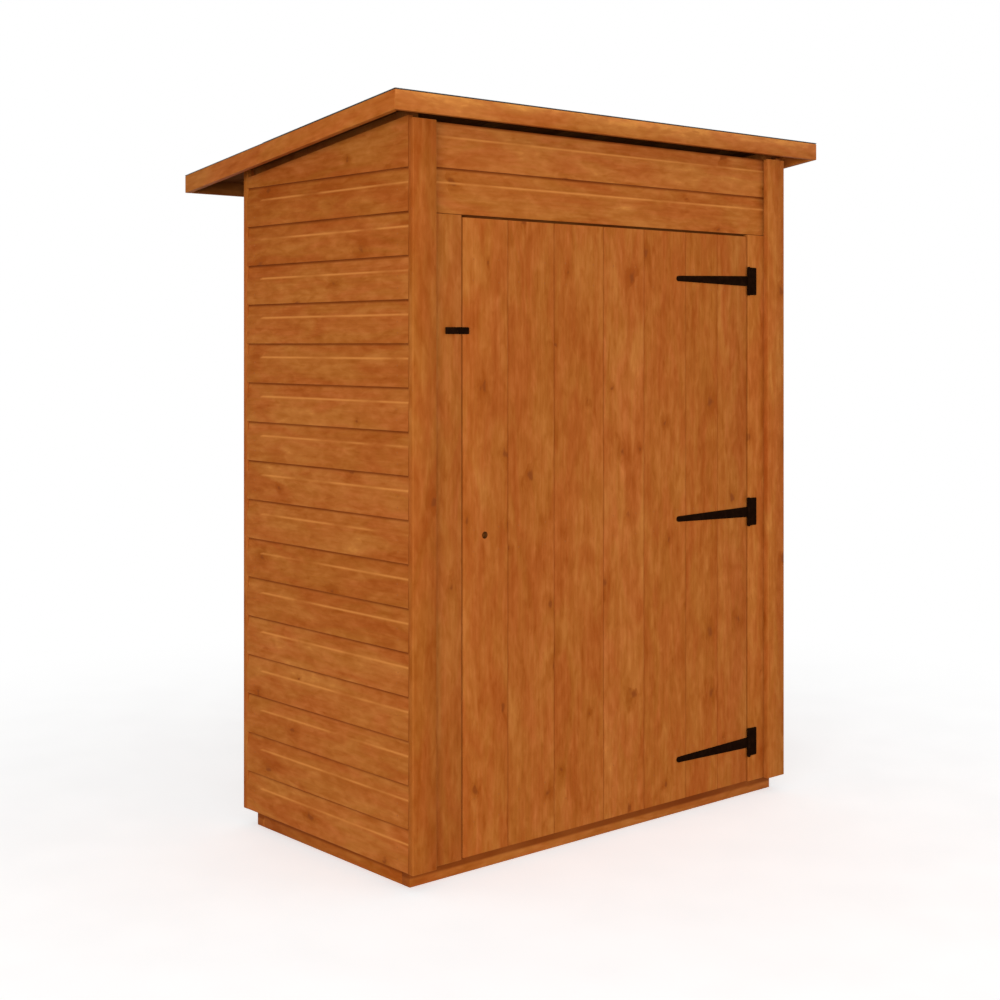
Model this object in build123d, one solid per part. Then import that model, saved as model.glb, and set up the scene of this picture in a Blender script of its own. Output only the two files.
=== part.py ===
"""Pent tool shed: shiplap walls, sloping felted roof and one ledged and braced door on T hinges.

Millimetres, +Z up. The door faces -Y. The origin is on the ground, under the middle of the roof.
"""
import math
import os

from build123d import *

# Walls
wall_width = 1220.0
wall_depth = 633.0
front_wall_height = 1658.0
cladding_foot = 37.0
board_thickness = 12.0
board_cover = 93.2
scoop_height = 31.0
scoop_depth = 5.0
header_course_count = 2
header_cover = 98.5
side_slot = 20.0
corner_strip_width = 64.0
corner_strip_thickness = 16.0
jamb_thickness = 16.0
left_margin = 146.0
right_margin = 124.0

# Wall framing
stud_width = 44.0
stud_depth = 28.0
rail_height = 44.0
door_stop = 15.0
back_stud_count = 2
mid_rail_share = 0.5

# Floor
bearer_height = 45.0
bearer_width = 28.0
floor_board_thickness = 12.0
floor_inset = 18.0
joist_count = 3

# Roof
roof_pitch = 7.5
front_overhang = 59.0
side_overhang = 80.0
back_overhang = 155.0
deck_thickness = 12.0
felt_thickness = 2.5
fascia_height = 44.0
fascia_thickness = 16.0
purlin_width = 28.0
purlin_height = 44.0

# Door
door_gap = 5.0
door_lift = 3.0
door_board_thickness = 11.0
door_joint_shares = (0.138, 0.287, 0.455, 0.6, 0.757, 0.881)
v_joint_width = 4.2
v_joint_depth = 1.8
ledge_height = 70.0
ledge_thickness = 20.0
ledge_clearance = 8.0
brace_cut_width = 84.0
brace_setback = 40.0

# T hinges
low_hinge_setback = 98.0
high_hinge_setback = 114.0
leaf_thickness = 3.0
barrel_radius = 4.5
hinge_pin_radius = 2.5
pin_fit = 0.05
pin_head_radius = 3.6
pin_head_height = 1.5
knuckle_gap = 0.5
plate_height = 70.0
plate_width = 32.0
strap_length = 266.0
strap_root_height = 26.0
strap_tip_height = 13.0

# Lock
keyhole_radius = 8.0
keyhole_setback = 61.0
keyhole_rise = 9.0
lock_width = 95.0
lock_height = 62.0
lock_thickness = 15.0
lock_edge_radius = 4.0

# Turn button
button_height = 1184.0
button_setback = 15.0
button_length = 64.0
button_width = 15.0
button_thickness = 4.0
button_chamfer = 1.0
button_screw_radius = 2.5
button_head_radius = 5.5
button_head_height = 2.5
button_washer_radius = 5.5
button_washer_thickness = 1.2
button_play = 0.3

# Faces that several pieces share
half_width = wall_width / 2
front_y = front_overhang - (front_overhang + wall_depth + back_overhang) / 2
back_y = front_y + wall_depth
inner_half_width = half_width - board_thickness
frame_half_width = inner_half_width - stud_depth
front_frame_y = front_y + jamb_thickness
front_frame_back_y = front_frame_y + stud_depth
back_frame_y = back_y - board_thickness
floor_top = bearer_height + floor_board_thickness
full_course_count = int((front_wall_height - cladding_foot) / board_cover)
scooped_course_count = full_course_count - 1
top_board_height = front_wall_height - cladding_foot - scooped_course_count * board_cover
header_foot = cladding_foot + (full_course_count - header_course_count) * board_cover
header_top = header_foot + header_course_count * header_cover
opening_left = left_margin - half_width
opening_right = half_width - right_margin
door_left = opening_left + door_gap
door_right = opening_right - door_gap
door_foot = cladding_foot + door_lift
door_top = header_foot - door_gap
door_back_y = front_y + door_board_thickness
ledge_back_y = door_back_y + ledge_thickness
head_rail_foot = header_foot - door_stop
low_hinge_height = door_foot + low_hinge_setback
high_hinge_height = door_top - high_hinge_setback
middle_hinge_height = (low_hinge_height + high_hinge_height) / 2
hinge_heights = (low_hinge_height, middle_hinge_height, high_hinge_height)
keyhole_height = middle_hinge_height + keyhole_rise
hinge_names = ("low", "middle", "top")
pivot_x = opening_right - door_gap / 2
pivot_y = front_y - barrel_radius
ledge_left = opening_left + door_stop + ledge_clearance
ledge_right = opening_right - door_stop - ledge_clearance

# Roof planes, measured plumb
roof_slope = math.tan(math.radians(roof_pitch))
roof_front_y = front_y - front_overhang
roof_back_y = back_y + back_overhang
roof_half_width = half_width + side_overhang
deck_front_y = roof_front_y + fascia_thickness
deck_back_y = roof_back_y - fascia_thickness
deck_half_width = roof_half_width - fascia_thickness
deck_rise = deck_thickness / math.cos(math.radians(roof_pitch))
felt_rise = felt_thickness / math.cos(math.radians(roof_pitch))


def roof_underside(y):
    """Height of the underside of the deck."""
    return front_wall_height - (y - front_y) * roof_slope


def deck_top(y):
    """Height of the top of the deck."""
    return roof_underside(y) + deck_rise


def roof_top(y):
    """Height of the top of the felt."""
    return deck_top(y) + felt_rise


def block(x, y, z):
    """Squared timber between two limits on each axis."""
    box = Box(x[1] - x[0], y[1] - y[0], z[1] - z[0], align=(Align.MIN, Align.MIN, Align.MIN))
    return Pos(x[0], y[0], z[0]) * box


def side_prism(outline, x):
    """Outline of (y, z) points carried along X."""
    face = make_face(Polyline(*[(x[0], y, z) for y, z in outline], close=True))
    return extrude(face, amount=x[1] - x[0], dir=(1, 0, 0))


def front_prism(outline, y):
    """Outline of (x, z) points carried along Y."""
    face = make_face(Polyline(*[(x, y[0], z) for x, z in outline], close=True))
    return extrude(face, amount=y[1] - y[0], dir=(0, 1, 0))


def sloped_slab(y, x, foot, top):
    """Slab that follows the roof between two height functions, with plumb ends."""
    outline = [(y[0], foot(y[0])), (y[1], foot(y[1])), (y[1], top(y[1])), (y[0], top(y[0]))]
    return side_prism(outline, x)


def under_roof(piece, drop=0):
    """Piece cut off at the underside of the deck, or parallel to it and lower."""
    y = (roof_front_y, roof_back_y)
    x = (-roof_half_width, roof_half_width)
    return piece & sloped_slab(y, x, lambda at: 0, lambda at: roof_underside(at) - drop)


def upright(radius, x, y, z):
    """Round bar along Z."""
    bar = Cylinder(radius, z[1] - z[0], align=(Align.CENTER, Align.CENTER, Align.MIN))
    return Pos(x, y, z[0]) * bar


def crosswise(radius, x, y, z):
    """Round bar along Y."""
    bar = Cylinder(radius, y[1] - y[0], align=(Align.CENTER, Align.CENTER, Align.MAX))
    return Pos(x, y[0], z) * Rot(90, 0, 0) * bar


def mirrored(piece):
    """Piece for the other side of the shed."""
    return mirror(piece, about=Plane.YZ)


def together(pieces):
    """Like pieces that don't touch, as one node."""
    return Compound(children=list(pieces))


def spaced(low, high, count):
    """Evenly spaced middles, with none at the ends."""
    return [low + (high - low) * (i + 1) / (count + 1) for i in range(count)]


def scoop(height):
    """Hollow of one board: from its flat face in to the foot of the board above."""
    radius = (scoop_depth ** 2 + scoop_height ** 2) / (2 * scoop_depth)
    half_turn = math.asin(scoop_height / radius) / 2
    middle = (
        scoop_depth - radius + radius * math.cos(half_turn),
        0,
        height - radius * math.sin(half_turn),
    )
    return ThreePointArc((0, 0, height - scoop_height), middle, (scoop_depth, 0, height))


def shiplap_panel(length, foot, courses, cover, top_board=0):
    """Wall of shiplap boards, topped by a plain one, its outer face at X zero, along Y from zero."""
    head = foot + courses * cover
    edges = []
    for course in range(courses):
        low = foot + course * cover
        high = low + cover
        edges.append(Line((0, 0, low), (0, 0, high - scoop_height)))
        edges.append(scoop(high))
        if course < courses - 1:
            edges.append(Line((scoop_depth, 0, high), (0, 0, high)))
    rim = [(scoop_depth, 0, head)]
    if top_board:
        rim += [(0, 0, head), (0, 0, head + top_board)]
    rim += [(board_thickness, 0, head + top_board), (board_thickness, 0, foot), (0, 0, foot)]
    edges.append(Polyline(*rim))
    return extrude(make_face(edges), amount=length, dir=(0, 1, 0))


def side_cladding():
    """Left wall boards, cut to the roof's slope with an air slot left under it."""
    panel = shiplap_panel(wall_depth, cladding_foot, scooped_course_count, board_cover, top_board_height)
    return under_roof(Pos(-half_width, front_y, 0) * panel, side_slot)


def back_cladding():
    """Back wall boards, between the side walls."""
    length = 2 * inner_half_width
    panel = shiplap_panel(length, cladding_foot, scooped_course_count, board_cover, top_board_height)
    return under_roof(Pos(-inner_half_width, back_y, 0) * Rot(0, 0, -90) * panel)


def header_cladding():
    """Boards over the door, set back to the frame, with an air slot left under the roof."""
    panel = shiplap_panel(2 * inner_half_width, header_foot, header_course_count, header_cover)
    return Pos(inner_half_width, front_frame_y - board_thickness, 0) * Rot(0, 0, 90) * panel


def jamb_board(x):
    """Plain board beside the door."""
    return block(x, (front_y, front_frame_y), (cladding_foot, header_foot))


def corner_strip(y, top):
    """Strip over a left corner of the shed."""
    x = (-half_width, corner_strip_width - half_width)
    return under_roof(block(x, y, (cladding_foot, top)))


side_stud_front = (front_frame_y, front_frame_y + stud_width)
side_stud_back = (back_frame_y - stud_width, back_frame_y)
side_frame_x = (-inner_half_width, -frame_half_width)


def side_studs():
    """Studs at both ends of the left wall."""
    rise = (floor_top, front_wall_height)
    return together(under_roof(block(side_frame_x, y, rise)) for y in (side_stud_front, side_stud_back))


def side_rails():
    """Bottom, middle and sloping top rail of the left wall."""
    y = (side_stud_front[1], side_stud_back[0])
    middle = floor_top + (roof_underside(y[1]) - floor_top) * mid_rail_share
    rails = [block(side_frame_x, y, (foot, foot + rail_height)) for foot in (floor_top, middle)]
    rails.append(sloped_slab(y, side_frame_x, lambda at: roof_underside(at) - rail_height, roof_underside))
    return together(rails)


def across_rail(y, foot, top):
    """Rail from side wall to side wall, its top cut to the roof."""
    return under_roof(block((-frame_half_width, frame_half_width), y, (foot, top)))


back_rail_y = (back_frame_y - stud_depth, back_frame_y)
back_top_rail_foot = roof_underside(back_frame_y) - rail_height


def back_rails():
    """Bottom and top rail of the back wall."""
    low = across_rail(back_rail_y, floor_top, floor_top + rail_height)
    high = across_rail(back_rail_y, back_top_rail_foot, front_wall_height)
    return together([low, high])


def back_studs():
    """Studs between the back wall's rails."""
    half = stud_width / 2
    rise = (floor_top + rail_height, back_top_rail_foot)
    middles = spaced(-frame_half_width, frame_half_width, back_stud_count)
    return together(block((x - half, x + half), back_rail_y, rise) for x in middles)


front_rail_y = (front_frame_y, front_frame_back_y)


def door_posts():
    """Posts behind the jamb boards, which the door shuts against."""
    rise = (floor_top, head_rail_foot)
    left = block((opening_left + door_stop - stud_width, opening_left + door_stop), front_rail_y, rise)
    right = block((opening_right - door_stop, opening_right - door_stop + stud_width), front_rail_y, rise)
    return together([left, right])


def front_rails():
    """Head rail over the door and the rail behind the top of the header."""
    head = across_rail(front_rail_y, head_rail_foot, head_rail_foot + rail_height)
    top = across_rail(front_rail_y, header_top - rail_height, header_top)
    return together([head, top])


floor_x = (floor_inset - half_width, half_width - floor_inset)
floor_y = (front_y + floor_inset, back_y - floor_inset)


def floor_bearers():
    """Bearers along the front and the back."""
    front = block(floor_x, (floor_y[0], floor_y[0] + bearer_width), (0, bearer_height))
    back = block(floor_x, (floor_y[1] - bearer_width, floor_y[1]), (0, bearer_height))
    return together([front, back])


def floor_joists():
    """Joists between the bearers, one at each end and the rest between."""
    y = (floor_y[0] + bearer_width, floor_y[1] - bearer_width)
    step = (floor_x[1] - floor_x[0] - bearer_width) / (joist_count - 1)
    starts = [floor_x[0] + step * i for i in range(joist_count)]
    return together(block((x, x + bearer_width), y, (0, bearer_height)) for x in starts)


def roof_purlin():
    """Timber under the middle of the deck."""
    middle = (front_y + back_y) / 2
    y = (middle - purlin_width / 2, middle + purlin_width / 2)
    return across_rail(y, roof_underside(y[1]) - purlin_height, front_wall_height)


def barge_foot(y):
    """Height of the lower edge of a barge board."""
    return roof_top(y) - fascia_height


def front_mitre():
    """Corner of the roof's edging that the left barge board takes from the fascia."""
    corner = (-roof_half_width, roof_front_y)
    inner = (-deck_half_width, deck_front_y)
    outline = [corner, inner, (corner[0], inner[1])]
    face = make_face(Polyline(*[(x, y, 0) for x, y in outline], close=True))
    return extrude(face, amount=roof_top(roof_front_y), dir=(0, 0, 1))


def front_fascia():
    """Board along the high edge of the roof, under the felt, mitred to the barge boards."""
    foot = roof_top(roof_front_y) - fascia_height
    x = (-roof_half_width, roof_half_width)
    board = sloped_slab((roof_front_y, deck_front_y), x, lambda y: foot, deck_top)
    return board - front_mitre() - mirrored(front_mitre())


def barge_board():
    """Sloping board on the left end of the roof, under the felt."""
    x = (-roof_half_width, -deck_half_width)
    front = sloped_slab((roof_front_y, deck_front_y), x, barge_foot, deck_top) & front_mitre()
    return front + sloped_slab((deck_front_y, roof_back_y), x, barge_foot, deck_top)


def back_fascia():
    """Board along the low edge, under the felt and between the barge boards."""
    x = (-deck_half_width, deck_half_width)
    return sloped_slab((deck_back_y, roof_back_y), x, barge_foot, deck_top)


def roof_deck():
    """Boarded deck inside the fascia and barge boards."""
    x = (-deck_half_width, deck_half_width)
    return sloped_slab((deck_front_y, deck_back_y), x, roof_underside, deck_top)


def roof_felt():
    """Felt over the deck and its edging."""
    x = (-roof_half_width, roof_half_width)
    return sloped_slab((roof_front_y, roof_back_y), x, deck_top, roof_top)


def keyhole():
    """Round hole through the door and its middle ledge."""
    return crosswise(keyhole_radius, door_left + keyhole_setback, (front_y, ledge_back_y), keyhole_height)


def door_boards():
    """Upright boards with a V joint between each two."""
    outline = [(door_left, front_y)]
    for joint_share in door_joint_shares:
        joint = door_left + (door_right - door_left) * joint_share
        outline.append((joint - v_joint_width / 2, front_y))
        outline.append((joint, front_y + v_joint_depth))
        outline.append((joint + v_joint_width / 2, front_y))
    outline += [(door_right, front_y), (door_right, door_back_y), (door_left, door_back_y)]
    face = make_face(Polyline(*[(x, y, door_foot) for x, y in outline], close=True))
    return extrude(face, amount=door_top - door_foot, dir=(0, 0, 1)) - keyhole()


def door_ledges():
    """Ledges across the back of the door, one behind each hinge."""
    half = ledge_height / 2
    x = (ledge_left, ledge_right)
    y = (door_back_y, ledge_back_y)
    rows = [block(x, y, (height - half, height + half)) for height in hinge_heights]
    return together(row - keyhole() for row in rows)


def door_braces():
    """Braces that rise from the hinge side, between the ledges."""
    left = ledge_left + brace_setback
    right = ledge_right - brace_setback
    braces = []
    for low, high in zip(hinge_heights, hinge_heights[1:]):
        foot = low + ledge_height / 2
        top = high - ledge_height / 2
        outline = [(right - brace_cut_width, foot), (right, foot)]
        outline += [(left + brace_cut_width, top), (left, top)]
        braces.append(front_prism(outline, (door_back_y, ledge_back_y)))
    return together(braces)


def hinge_bore(height):
    """Hole for the pin through all three knuckles."""
    reach = plate_height / 2
    return upright(hinge_pin_radius + pin_fit, pivot_x, pivot_y, (height - reach, height + reach))


def hinge_plate(height):
    """Upright plate of a T hinge with a knuckle at each end."""
    reach = plate_height / 2
    notch = strap_root_height / 2 + knuckle_gap
    leaf_y = (front_y - leaf_thickness, front_y)
    plate = block((pivot_x, pivot_x + plate_width), leaf_y, (height - reach, height + reach))
    plate += upright(barrel_radius, pivot_x, pivot_y, (height - reach, height + reach))
    notch_x = (pivot_x - barrel_radius, pivot_x + barrel_radius + knuckle_gap)
    plate -= block(notch_x, (pivot_y - barrel_radius, front_y), (height - notch, height + notch))
    return plate - hinge_bore(height)


def hinge_strap(height):
    """Tapered strap of a T hinge with a round tip and the middle knuckle."""
    root = strap_root_height / 2
    tip = strap_tip_height / 2
    tip_x = pivot_x - strap_length + tip
    leaf_y = (front_y - leaf_thickness, front_y)
    outline = [(pivot_x, height - root), (pivot_x, height + root)]
    outline += [(tip_x, height + tip), (tip_x, height - tip)]
    strap = front_prism(outline, leaf_y) + crosswise(tip, tip_x, leaf_y, height)
    strap += upright(barrel_radius, pivot_x, pivot_y, (height - root, height + root))
    return strap - hinge_bore(height)


def hinge_pin(height):
    """Pin through a hinge's knuckles, headed at both ends."""
    reach = plate_height / 2
    pin = upright(hinge_pin_radius, pivot_x, pivot_y, (height - reach, height + reach))
    pin += upright(pin_head_radius, pivot_x, pivot_y, (height + reach, height + reach + pin_head_height))
    pin += upright(pin_head_radius, pivot_x, pivot_y, (height - reach - pin_head_height, height - reach))
    return pin


def rim_lock():
    """Lock case on the middle ledge, behind the keyhole."""
    z = (keyhole_height - lock_height / 2, keyhole_height + lock_height / 2)
    case = block((ledge_left, ledge_left + lock_width), (ledge_back_y, ledge_back_y + lock_thickness), z)
    return fillet(case.faces().sort_by(Axis.Y)[-1].edges(), lock_edge_radius)


button_x = opening_left - button_setback
button_back_y = front_y - button_washer_thickness - button_play
button_front_y = button_back_y - button_thickness


def turn_button():
    """Bar that turns on a screw in the left jamb and laps the door's edge."""
    x = (button_x - button_length / 2, button_x + button_length / 2)
    z = (button_height - button_width / 2, button_height + button_width / 2)
    bar = block(x, (button_front_y, button_back_y), z)
    bar = chamfer(bar.faces().sort_by(Axis.Y)[0].edges(), button_chamfer)
    bore_y = (button_front_y, button_back_y)
    return bar - crosswise(button_screw_radius + pin_fit, button_x, bore_y, button_height)


def turn_button_screw():
    """Screw and washer that the turn button turns on."""
    head_back_y = button_front_y - button_play
    head_y = (head_back_y - button_head_height, head_back_y)
    washer_y = (front_y - button_washer_thickness, front_y)
    screw = crosswise(button_screw_radius, button_x, (head_back_y, front_y), button_height)
    screw += crosswise(button_washer_radius, button_x, washer_y, button_height)
    return screw + crosswise(button_head_radius, button_x, head_y, button_height)


def pieces():
    """Every node of the shed by name."""
    left_wall = side_cladding()
    left_studs = side_studs()
    left_rails = side_rails()
    front_strip = corner_strip((front_y - corner_strip_thickness, front_y), header_top)
    back_strip = corner_strip((back_y, back_y + corner_strip_thickness), front_wall_height)
    left_barge = barge_board()
    nodes = {
        "floor_bearers": floor_bearers(),
        "floor_joists": floor_joists(),
        "floor_boards": block(floor_x, floor_y, (bearer_height, floor_top)),
        "left_cladding": left_wall,
        "right_cladding": mirrored(left_wall),
        "back_cladding": back_cladding(),
        "header_cladding": header_cladding(),
        "left_jamb_board": jamb_board((-inner_half_width, opening_left)),
        "right_jamb_board": jamb_board((opening_right, inner_half_width)),
        "front_left_corner_strip": front_strip,
        "front_right_corner_strip": mirrored(front_strip),
        "back_left_corner_strip": back_strip,
        "back_right_corner_strip": mirrored(back_strip),
        "left_studs": left_studs,
        "right_studs": mirrored(left_studs),
        "left_rails": left_rails,
        "right_rails": mirrored(left_rails),
        "back_studs": back_studs(),
        "back_rails": back_rails(),
        "door_posts": door_posts(),
        "front_rails": front_rails(),
        "roof_deck": roof_deck(),
        "roof_felt": roof_felt(),
        "roof_purlin": roof_purlin(),
        "front_fascia": front_fascia(),
        "back_fascia": back_fascia(),
        "left_barge_board": left_barge,
        "right_barge_board": mirrored(left_barge),
        "hinge_pins": together(hinge_pin(height) for height in hinge_heights),
        "turn_button_screw": turn_button_screw(),
        "door_boards": door_boards(),
        "door_ledges": door_ledges(),
        "door_braces": door_braces(),
        "rim_lock": rim_lock(),
        "turn_button": turn_button(),
    }
    for name, height in zip(hinge_names, hinge_heights):
        nodes[f"{name}_hinge_plate"] = hinge_plate(height)
        nodes[f"{name}_hinge_strap"] = hinge_strap(height)
    return nodes


os.makedirs("parts", exist_ok=True)
for name, piece in pieces().items():
    export_step(piece, f"parts/{name}.step")
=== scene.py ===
"""Boards, roof, door and ironwork of a pent tool shed, dressed round its CAD frame.

Metres, +Z up. The door faces -Y. A board is drawn in its own frame, X along its grain, Y across
its face and Z into the timber, and is then laid where the CAD node says.
"""
import math
import random

import bmesh
import bpy
from bpy.props import FloatProperty, FloatVectorProperty, IntProperty, PointerProperty
from bpy.types import Operator, Panel, PropertyGroup
from mathutils import Matrix, Vector


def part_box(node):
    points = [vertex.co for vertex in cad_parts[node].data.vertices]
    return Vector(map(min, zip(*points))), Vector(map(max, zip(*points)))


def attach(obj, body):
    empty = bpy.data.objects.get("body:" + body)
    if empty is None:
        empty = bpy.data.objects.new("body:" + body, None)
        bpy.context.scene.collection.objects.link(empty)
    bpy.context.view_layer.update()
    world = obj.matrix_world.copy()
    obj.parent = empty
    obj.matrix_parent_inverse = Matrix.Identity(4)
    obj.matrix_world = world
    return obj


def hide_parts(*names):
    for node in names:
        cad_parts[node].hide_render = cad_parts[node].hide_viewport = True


bl_info = {
    "name": "Pent tool shed",
    "version": (1, 0, 0),
    "blender": (4, 5, 0),
    "location": "View3D > Sidebar > Shed",
    "description": "Builds the boards, roof, door and ironwork of a pent tool shed",
    "category": "Object",
}

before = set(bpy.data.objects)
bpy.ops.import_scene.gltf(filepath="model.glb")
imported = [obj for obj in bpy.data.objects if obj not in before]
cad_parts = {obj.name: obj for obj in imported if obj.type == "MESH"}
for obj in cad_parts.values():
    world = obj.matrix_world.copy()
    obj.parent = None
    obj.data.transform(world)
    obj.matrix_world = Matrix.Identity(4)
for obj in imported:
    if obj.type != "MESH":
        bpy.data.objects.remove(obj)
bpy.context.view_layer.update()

X, Y, Z = Vector((1, 0, 0)), Vector((0, 1, 0)), Vector((0, 0, 1))
WHITE = (1, 1, 1, 1)
HINGES = ("low", "middle", "top")
MM = 0.001
# Points closer than this are taken as one, and a normal this much along an axis as pointing that way
NEAR = MM / 10
ALONG_SHARE = 0.9
# A board's end grain is coloured over this length, and the painted highlight on its arris ends at this share
# of the fade
END_BAND = MM
FADE_END_SHARE = 0.8
# Strengths of the painted highlight on eased edges and of the painted shade on timber in the slot under the
# roof
EDGE_HIGHLIGHT = 0.35
SLOT_PAINTED_SHADE = 0.6
SMOOTH_BELOW = math.radians(32)

# Faces that several pieces share, as the frame has them
wall_low, wall_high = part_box("left_cladding")
right_low, right_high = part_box("right_cladding")
header_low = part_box("header_cladding")[0]
fascia_low, fascia_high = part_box("front_fascia")
deck_low, deck_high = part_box("roof_deck")
door_low, door_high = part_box("door_boards")
stud_low, stud_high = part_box("left_studs")
strip_low, strip_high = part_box("back_left_corner_strip")
front_y = wall_low.y
roof_slope = (stud_high.z - strip_high.z) / (strip_low.y - stud_low.y)
roof_normal = Vector((0, roof_slope, 1)).normalized()


def roof_underside(y):
    """Height of the underside of the deck."""
    return stud_high.z - (y - stud_low.y) * roof_slope


front_height = roof_underside(front_y)
roof_cut = (Vector((0, front_y, front_height)), roof_normal)

# Heights above the deck's underside become heights above the ground
on_slope = Matrix.Identity(4)
on_slope[2][1] = -roof_slope
on_slope[2][3] = roof_underside(0)


def srgb(red, green, blue):
    """Linear colour of three 8-bit screen values."""
    def linear(value):
        share = value / 255
        return share / 12.92 if share <= 0.04045 else ((share + 0.055) / 1.055) ** 2.4
    return tuple(linear(value) for value in (red, green, blue))


def length(name, description, default):
    """A size in metres that a user can change."""
    return FloatProperty(name=name, description=description, default=default, unit="LENGTH", precision=4)


def colour(name, description, default):
    """A colour that a user can change."""
    return FloatVectorProperty(
        name=name, description=description, default=default, subtype="COLOR", min=0, max=1)


class ShedBoards(PropertyGroup):
    """Sizes of the boards and timbers."""

    cover: length("Board cover", "Height that one shiplap board shows", 0.0932)
    courses: IntProperty(name="Courses", description="Scooped boards up a wall", default=16, min=1)
    header_courses: IntProperty(name="Header courses", description="Boards over the door", default=2, min=1)
    thickness: length("Board thickness", "Thickness of the wall boards", wall_high.x - wall_low.x)
    scoop_height: length("Scoop height", "Height of the hollow at the top of a board", 0.031)
    scoop_depth: length("Scoop depth", "Depth of the hollow under the board above", 0.005)
    lap: length("Lap", "Height of the tongue behind the board above", 0.008)
    lap_slack: length("Lap slack", "Gap over a tongue's top", 0.002)
    lip_slack: length("Lip slack", "How much a board's lip is thinner than the scoop below is deep", 0.0004)
    tongue_set: length("Tongue setback", "How far a tongue's top leans back from the scoop", 0.0003)
    joint_gap: length("Joint gap", "Open joint under each board's foot", 0.0008)
    joint_stain: length("Joint stain", "Height over which the stain gathered in a joint fades", 0.0070)
    ease: length("Eased edge", "Rounding of a planed timber's edges", 0.0016)
    # Painted highlight: a pale line along each scoop's arris stands for the light it catches, left off near
    # a board's far end
    arris: length("Worn arris", "Height of the pale line along a scoop's edge", 0.0040)
    fade: length("Arris fade", "Length without a worn arris at a board's far end", 0.070)
    # Painted light: the lower wall boards get a paler tone and the higher ones a deeper one, standing for
    # light that reaches the foot of the wall
    painted_foot_light: FloatProperty(
        name="Bleach", description="How much paler the lowest wall boards are than the highest", default=3.0)
    door_ease: length("Door edge", "Rounding of the door's upright edges", 0.0025)
    v_width: length("V joint width", "Width of the V joint between door boards", 0.0042)
    v_depth: length("V joint depth", "Depth of the V joint between door boards", 0.0018)
    tongue: length("Door tongue", "Reach of the tongue between door boards", 0.005)
    board_gap: length("Door board gap", "Half of the gap behind a V joint", 0.00035)
    groove_slack: length("Groove slack", "Gap round a tongue in its groove", 0.00025)
    joint_blur: length("Joint blur", "Width over which the shade beside a V joint fades", 0.003)
    stud: length("Stud width", "Width of the studs and rails", 0.044)
    bearer: length("Bearer width", "Width of the bearers and joists", 0.028)
    ledge: length("Ledge height", "Height of a ledge on the back of the door", 0.070)
    brace_cut: length("Brace cut", "Width of a brace along its level cut", 0.084)
    door_joints: FloatVectorProperty(
        name="Door joints", description="Joints between the door boards, as shares of its width",
        default=(0.138, 0.287, 0.455, 0.6, 0.757, 0.881), size=6, min=0, max=1)
    floor_boards: IntProperty(name="Floor boards", description="Boards across the floor", default=6, min=1)
    deck_boards: IntProperty(name="Roof boards", description="Boards across the roof", default=12, min=1)


class ShedIronwork(PropertyGroup):
    """Sizes of the hinges, the lock and the fixings."""

    barrel: length("Hinge barrel", "Radius of a hinge knuckle", 0.0045)
    leaf: length("Hinge leaf", "Thickness of a hinge's strap and plate", 0.003)
    strap_root: length("Strap root", "Height of a strap beside its knuckle", 0.026)
    strap_tip: length("Strap tip", "Height of a strap at its round tip", 0.013)
    keyhole: length("Keyhole", "Radius of the keyhole", 0.008)
    keyhole_setback: length("Keyhole setback", "Distance of the keyhole from the door's left edge", 0.061)
    leaf_ease: length("Leaf edge", "Rounding of a hinge leaf's rim", 0.0005)
    plate_corner: length("Plate corner", "Rounding of a hinge plate's outer corners", 0.0025)
    knuckle_ease: length("Knuckle edge", "Rounding of a knuckle's rims", 0.0004)
    knuckle_gap: length("Knuckle gap", "Gap between the knuckles of strap and plate", 0.0005)
    screw: length("Screw head", "Radius of a hinge screw's head", 0.0042)
    screw_height: length("Screw height", "Height of a hinge screw's head", 0.0012)
    nail: length("Nail head", "Radius of a board nail's head", 0.0018)
    clout: length("Clout head", "Radius of a felt nail's head", 0.0045)
    pin: length("Pin", "Radius of a hinge pin and of the button's screw", 0.0024)
    pin_head: length("Pin head", "Height of a hinge pin's heads", 0.0015)
    pin_ease: length("Pin edge", "Rounding of a pin's rims", 0.0002)


class ShedColours(PropertyGroup):
    """Colours of the finishes."""

    stain: colour("Stain", "Middle colour of the stained timber", srgb(168, 92, 34))
    deep: colour("Deep stain", "Colour where the timber drinks more stain", srgb(152, 76, 19))
    pale: colour("Pale stain", "Colour where the timber drinks less stain", srgb(184, 108, 49))
    # Also the colour of the painted shadow on the plinth under the walls
    joint: colour("Joint", "Colour of stain gathered in the joints", srgb(122, 55, 12))
    # Painted highlight colour of the arrises and eased edges; it is also the palest stop of the stain
    painted_highlight: colour("Worn edge", "Colour of the rubbed edges", srgb(210, 133, 64))
    knot: colour("Knot", "Colour of the knots", srgb(130, 62, 17))
    end: colour("End grain", "Colour of the sawn ends", srgb(140, 68, 22))
    # Painted shade: timber up under the roof, in the slots and in the keyhole is darkened to this share of
    # its colour
    painted_shade_level: FloatProperty(
        name="Shaded timber", description="Share of the stain's brightness on timber under the roof",
        default=0.3, min=0, max=1, subtype="FACTOR")
    iron: colour("Ironwork", "Colour of the black hinges and fittings", srgb(24, 11, 5))
    nail: colour("Nails", "Colour of the stained-over nail heads", srgb(164, 90, 33))
    clout: colour("Felt nails", "Colour of the galvanised felt nails", srgb(128, 131, 134))
    felt: colour("Felt", "Middle colour of the mineral felt", srgb(66, 68, 68))
    felt_light: colour("Felt grains", "Colour of the paler mineral grains", srgb(118, 120, 118))
    floor: colour("Floor", "Colour of the studio floor", (0.84, 0.84, 0.84))
    floor_light: colour("Floor patches", "Colour of the floor's paler patches", (0.9, 0.9, 0.9))
    floor_bounce: colour("Floor bounce", "Colour that the floor throws back on the shed", (0.6, 0.6, 0.6))


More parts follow.
